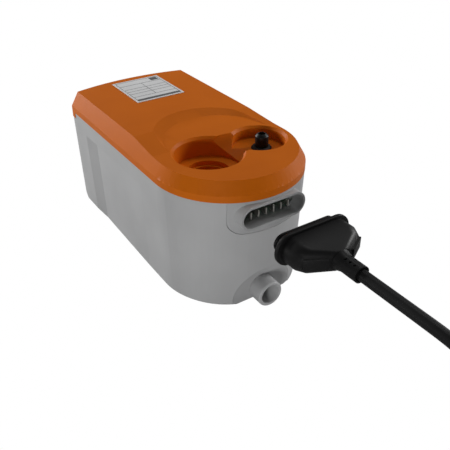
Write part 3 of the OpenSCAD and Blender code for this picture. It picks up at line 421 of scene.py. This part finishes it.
# control board: shares of its width and length, then half sizes or a radius, and the height
boardParts = {
    "chips": [(0.52, 0.62, 4, 4, 1.8), (0.72, 0.7, 3, 5, 1.6), (0.3, 0.86, 2.5, 3.5, 1.5)],
    "chipEdge": 0.15,
    "cans": [(0.18, 0.3, 3.2, 9), (0.25, 0.55, 2.5, 7)],
    "canEdge": 0.4,
    "smallSize": (0.5, 0.9, 0.6),
    "smallFrom": (0.78, 0.45),
    "smallStep": (0.05, 0.03),
    "smallRows": 5,
    "smallColumns": 4,
}

# socket board: shares of its width and height, then half sizes
socketBoard = {
    "parts": [
        (0.12, 0.55, 2.2, 3), (0.34, 0.8, 1.6, 1.2), (0.5, 0.82, 2.6, 1.0),
        (0.68, 0.8, 1.5, 1.2), (0.88, 0.5, 2.4, 3.4),
    ],
    "edge": 0.2,
    "depth": 1.2,
    "deeper": 0.2,  # each part stands out this much further than the last
}


def boardSet(c):
    low, high = corners("control_board")
    wide, long, top = high[0] - low[0], high[1] - low[1], high[2]
    chips = list(c["chips"])
    for i in range(c["smallRows"]):
        for j in range(c["smallColumns"]):
            u = c["smallFrom"][0] + c["smallStep"][0] * j
            v = c["smallFrom"][1] + c["smallStep"][1] * i
            chips.append((u, v, *c["smallSize"]))
    dark, cans = [], []
    for u, v, a, b, h in chips:
        x, y = low[0] + u * wide, low[1] + v * long
        dark.append(block("chip", (x - a, y - b, top), (x + a, y + b, top + h)))
    belongs(softened(joined("boardChips", dark), c["chipEdge"]), "head", "plugBlack")
    for u, v, r, h in c["cans"]:
        cans.append(barrel("can", (low[0] + u * wide, low[1] + v * long, top + h / 2), r, h))
    belongs(softened(joined("boardCans", cans), c["canEdge"]), "head", "relayBlue")


def socketParts(c):
    low, high = corners("socket_board")
    wide, tall = high[0] - low[0], high[2] - low[2]
    parts = []
    for i, (u, v, a, b) in enumerate(c["parts"]):
        x, z = low[0] + u * wide, low[2] + v * tall
        front = low[1] - c["depth"] - c["deeper"] * i
        parts.append(block("part", (x - a, front, z - b), (x + a, low[1], z + b)))
    belongs(softened(joined("socketParts", parts), c["edge"]), "head", "bladeMetal")


boardSet(boardParts)
socketParts(socketBoard)
print("board parts placed")

# finishes: what a look doesn't say for itself comes from here
plainLook = {
    "cloud": 40,  # slow change of colour
    "cloudDetail": 3,
    "cloudEnds": (0.3, 0.7),
    "metal": 0,
    "ior": 1.46,
    "specular": 0.5,
    "grain": 1800,  # fine unevenness of the surface
    "grainDetail": 4,
    "roughEnds": (-0.05, 0.07),
    "bump": 0.25,
    "depth": 0.00006,  # metres
}
looks = {
    "lidOrange": {
        "low": (0.57, 0.125, 0.002), "high": (0.62, 0.14, 0.003), "rough": 0.45,
        "cloud": 25, "specular": 0.14,
    },
    "tankGrey": {
        "low": (0.43, 0.432, 0.435), "high": (0.48, 0.482, 0.485), "rough": 0.42,
        "cloud": 22, "specular": 0.35,
    },
    # the panel's grey is made darker than the tank's grey, which is the same plastic: painted shade from
    # the lid's overhang and the socket's collar
    "panelGreyPaintedShade": {
        "low": (0.38, 0.382, 0.385), "high": (0.43, 0.432, 0.435), "rough": 0.45, "specular": 0.35,
    },
    "labelSilver": {
        "low": (0.70, 0.705, 0.71), "high": (0.77, 0.775, 0.78), "rough": 0.4, "grain": 900,
    },
    "labelInk": {"low": (0.10, 0.10, 0.105), "high": (0.14, 0.14, 0.145), "rough": 0.5},
    "trayDark": {"low": (0.07, 0.07, 0.075), "high": (0.09, 0.09, 0.095), "rough": 0.55},
    "rubberBlack": {
        "low": (0.012, 0.012, 0.012), "high": (0.02, 0.02, 0.02), "rough": 0.6,
        "grain": 1200, "bump": 0.4,
    },
    "plugBlack": {
        "low": (0.005, 0.005, 0.0052), "high": (0.008, 0.008, 0.0082), "rough": 0.45,
        "bump": 0.35, "specular": 0.22,
    },
    "boardGreen": {"low": (0.01, 0.13, 0.05), "high": (0.02, 0.19, 0.08), "rough": 0.35, "cloud": 300},
    "bladeMetal": {"low": (0.62, 0.60, 0.55), "high": (0.74, 0.72, 0.68), "rough": 0.28, "metal": 1},
    "screwSteel": {"low": (0.52, 0.52, 0.52), "high": (0.64, 0.64, 0.64), "rough": 0.32, "metal": 1},
    "hoseClear": {"low": (0.52, 0.54, 0.50), "high": (0.60, 0.62, 0.58), "rough": 0.4},
    "naturalPlastic": {"low": (0.70, 0.68, 0.60), "high": (0.78, 0.76, 0.69), "rough": 0.45},
    "plungerSteel": {"low": (0.45, 0.46, 0.47), "high": (0.58, 0.58, 0.59), "rough": 0.25, "metal": 1},
    "copperEnamel": {"low": (0.40, 0.12, 0.03), "high": (0.55, 0.19, 0.06), "rough": 0.3, "metal": 1},
    "yokeSteel": {"low": (0.30, 0.31, 0.33), "high": (0.40, 0.41, 0.43), "rough": 0.35, "metal": 1},
    "relayBlue": {"low": (0.015, 0.05, 0.19), "high": (0.02, 0.07, 0.24), "rough": 0.3},
    "terminalGreen": {"low": (0.02, 0.16, 0.05), "high": (0.035, 0.21, 0.075), "rough": 0.45},
    "reedGlass": {"low": (0.45, 0.65, 0.5), "high": (0.55, 0.75, 0.6), "rough": 0.1},
    "magnetDark": {"low": (0.045, 0.045, 0.05), "high": (0.07, 0.07, 0.075), "rough": 0.6},
    "contactBrass": {"low": (0.52, 0.36, 0.10), "high": (0.64, 0.47, 0.16), "rough": 0.3, "metal": 1},
    "coreBrown": {"low": (0.15, 0.06, 0.025), "high": (0.22, 0.09, 0.04), "rough": 0.45},
    "ferruleTin": {"low": (0.62, 0.62, 0.62), "high": (0.72, 0.72, 0.72), "rough": 0.3, "metal": 1},
}


def noise(tree, place, scale, detail):
    node = tree.nodes.new("ShaderNodeTexNoise")
    node.inputs["Scale"].default_value = scale
    node.inputs["Detail"].default_value = detail
    tree.links.new(place.outputs["Object"], node.inputs["Vector"])
    return node


def finish(name, look):
    look = {**plainLook, **look}
    material = bpy.data.materials.new(name)
    material.use_nodes = True
    tree = material.node_tree
    shader = tree.nodes["Principled BSDF"]
    shader.inputs["Metallic"].default_value = look["metal"]
    shader.inputs["IOR"].default_value = look["ior"]
    shader.inputs["Specular IOR Level"].default_value = look["specular"]
    place = tree.nodes.new("ShaderNodeTexCoord")
    cloud = noise(tree, place, look["cloud"], look["cloudDetail"])
    tone = tree.nodes.new("ShaderNodeValToRGB")
    for stop, position, shade in zip(tone.color_ramp.elements, look["cloudEnds"], ("low", "high")):
        stop.position = position
        stop.color = (*look[shade], 1)
    tree.links.new(cloud.outputs["Fac"], tone.inputs["Fac"])
    tree.links.new(tone.outputs["Color"], shader.inputs["Base Color"])
    grain = noise(tree, place, look["grain"], look["grainDetail"])
    rough = tree.nodes.new("ShaderNodeMapRange")
    rough.inputs["To Min"].default_value = look["rough"] + look["roughEnds"][0]
    rough.inputs["To Max"].default_value = look["rough"] + look["roughEnds"][1]
    tree.links.new(grain.outputs["Fac"], rough.inputs["Value"])
    tree.links.new(rough.outputs["Result"], shader.inputs["Roughness"])
    bump = tree.nodes.new("ShaderNodeBump")
    bump.inputs["Strength"].default_value = look["bump"]
    bump.inputs["Distance"].default_value = look["depth"]
    tree.links.new(grain.outputs["Fac"], bump.inputs["Height"])
    tree.links.new(bump.outputs["Normal"], shader.inputs["Normal"])
    return material


finishes = {name: finish(name, look) for name, look in looks.items()}

# which node wears which finish
wears = {
    "tankGrey": ["tank", "front_spigot"],
    "panelGreyPaintedShade": ["front_panel"],
    "lidOrange": ["lid", "inlet_sleeve"],
    "labelSilver": ["label_plate"],
    "trayDark": ["chassis_tray", "strainer"],
    "rubberBlack": [
        "rubber_feet", "rim_seal", "outlet_grommet", "pump_mounts", "outlet_ball", "inlet_ball",
    ],
    "plugBlack": [
        "outlet_spigot", "plug_body", "plug_insert", "plug_seal", "cord_tie",
        "outlet_valve_cap", "inlet_valve_cap", "power_cord", "cord_coil", "wire_loom",
    ],
    "boardGreen": ["socket_board", "control_board"],
    "bladeMetal": ["contact_blades"],
    "screwSteel": ["board_screws", "pump_screws", "stem_clip"],
    "hoseClear": ["discharge_hose", "suction_hose"],
    "naturalPlastic": ["pump_cylinder", "suction_pipe", "coil_bobbin", "float_stem", "float"],
    "plungerSteel": ["plunger", "front_spring", "rear_spring"],
    "copperEnamel": ["coil_winding"],
    "yokeSteel": ["coil_yoke"],
    "relayBlue": ["relay", "capacitor"],
    "terminalGreen": ["terminal_block"],
    "reedGlass": ["reed_switch"],
    "magnetDark": ["float_magnet"],
    "contactBrass": ["plug_contacts"],
    "coreBrown": ["cord_cores"],
    "ferruleTin": ["core_ferrules"],
}


def wear(obj, material):
    obj.data.materials.clear()
    obj.data.materials.append(material)


for name, members in wears.items():
    for member in members:
        wear(nodes[member], finishes[name])
wear(mainsCord, finishes["plugBlack"])
for name, spec in softEdges.items():
    wear(softPieces[name], finishes[spec["look"]])
for name, look in looksOf.items():
    wear(bpy.data.objects[name], finishes[look])
print("finishes given to", sum(len(m) for m in wears.values()), "nodes")

# studio, metres and watts
studio = {
    "lamps": [
        {"name": "softTop", "place": (0.3, 0.1, 0.9), "aim": (0, 0, 0.07), "size": 0.3, "power": 1.2},
        {"name": "softBack", "place": (-0.3, 1.0, 0.36), "aim": (0, 0, 0.07), "size": 0.2, "power": 9.5},
        {
            "name": "softFront", "place": (-0.65, -0.7, 0.06), "aim": (0, -0.05, 0.05),
            "size": 0.25, "power": 4.2,
        },
        {
            "name": "softLeft", "place": (-0.85, 0.45, 0.08), "aim": (0, 0.02, 0.04),
            "size": 0.25, "power": 0.9,
        },
        {"name": "softRight", "place": (0.9, -0.15, 0.4), "aim": (0, 0, 0.07), "size": 0.3, "power": 5.0},
    ],
    "world": 0.14,
    "floor": 1.6,  # half of its side
    "paper": {"tone": 0.5, "rough": 0.9, "specular": 0.1},
}
white = (1, 1, 1, 1)


def addLamp(lamp):
    data = bpy.data.lights.new(lamp["name"], "AREA")
    data.energy = lamp["power"]
    data.size = lamp["size"]
    obj = bpy.data.objects.new(lamp["name"], data)
    obj.location = lamp["place"]
    beam = Vector(lamp["aim"]) - Vector(lamp["place"])
    obj.rotation_euler = beam.to_track_quat("-Z", "Y").to_euler()
    scene.collection.objects.link(obj)


def mixed(tree, share, first, second):
    mix = tree.nodes.new("ShaderNodeMixShader")
    tree.links.new(share, mix.inputs["Fac"])
    tree.links.new(first.outputs[0], mix.inputs[1])
    tree.links.new(second.outputs[0], mix.inputs[2])
    return mix


# white to the camera alone, and plain to the light
def seenWhite(tree, shader, glowType):
    rays = tree.nodes.new("ShaderNodeLightPath")
    glow = tree.nodes.new(glowType)
    glow.inputs["Color"].default_value = white
    glow.inputs["Strength"].default_value = 1
    return mixed(tree, rays.outputs["Is Camera Ray"], shader, glow)


def addWorld(strength):
    world = bpy.data.worlds.new("studioWorld")
    scene.world = world
    world.use_nodes = True
    tree = world.node_tree
    sky = tree.nodes["Background"]
    sky.inputs["Color"].default_value = white
    sky.inputs["Strength"].default_value = strength
    seen = seenWhite(tree, sky, "ShaderNodeBackground")
    tree.links.new(seen.outputs[0], tree.nodes["World Output"].inputs["Surface"])


def paleFloor(c):
    material = bpy.data.materials.new("paleFloor")
    material.use_nodes = True
    tree = material.node_tree
    shader = tree.nodes["Principled BSDF"]
    shader.inputs["Base Color"].default_value = (c["tone"], c["tone"], c["tone"], 1)
    shader.inputs["Roughness"].default_value = c["rough"]
    shader.inputs["Specular IOR Level"].default_value = c["specular"]
    seen = seenWhite(tree, shader, "ShaderNodeEmission")
    side = tree.nodes.new("ShaderNodeNewGeometry")
    clear = tree.nodes.new("ShaderNodeBsdfTransparent")
    # clear from below, so that the feet can be seen
    twoSided = mixed(tree, side.outputs["Backfacing"], seen, clear)
    tree.links.new(twoSided.outputs[0], tree.nodes["Material Output"].inputs["Surface"])
    return material


for lamp in studio["lamps"]:
    addLamp(lamp)
addWorld(studio["world"])
half = studio["floor"]
floorMesh = bpy.data.meshes.new("studioFloor")
floorCorners = [(-half, -half, 0), (half, -half, 0), (half, half, 0), (-half, half, 0)]
floorMesh.from_pydata(floorCorners, [], [(0, 1, 2, 3)])
floorMesh.materials.append(paleFloor(studio["paper"]))
studioFloor = bpy.data.objects.new("studioFloor", floorMesh)
scene.collection.objects.link(studioFloor)
scene.view_settings.view_transform = "Standard"
print("studio set")
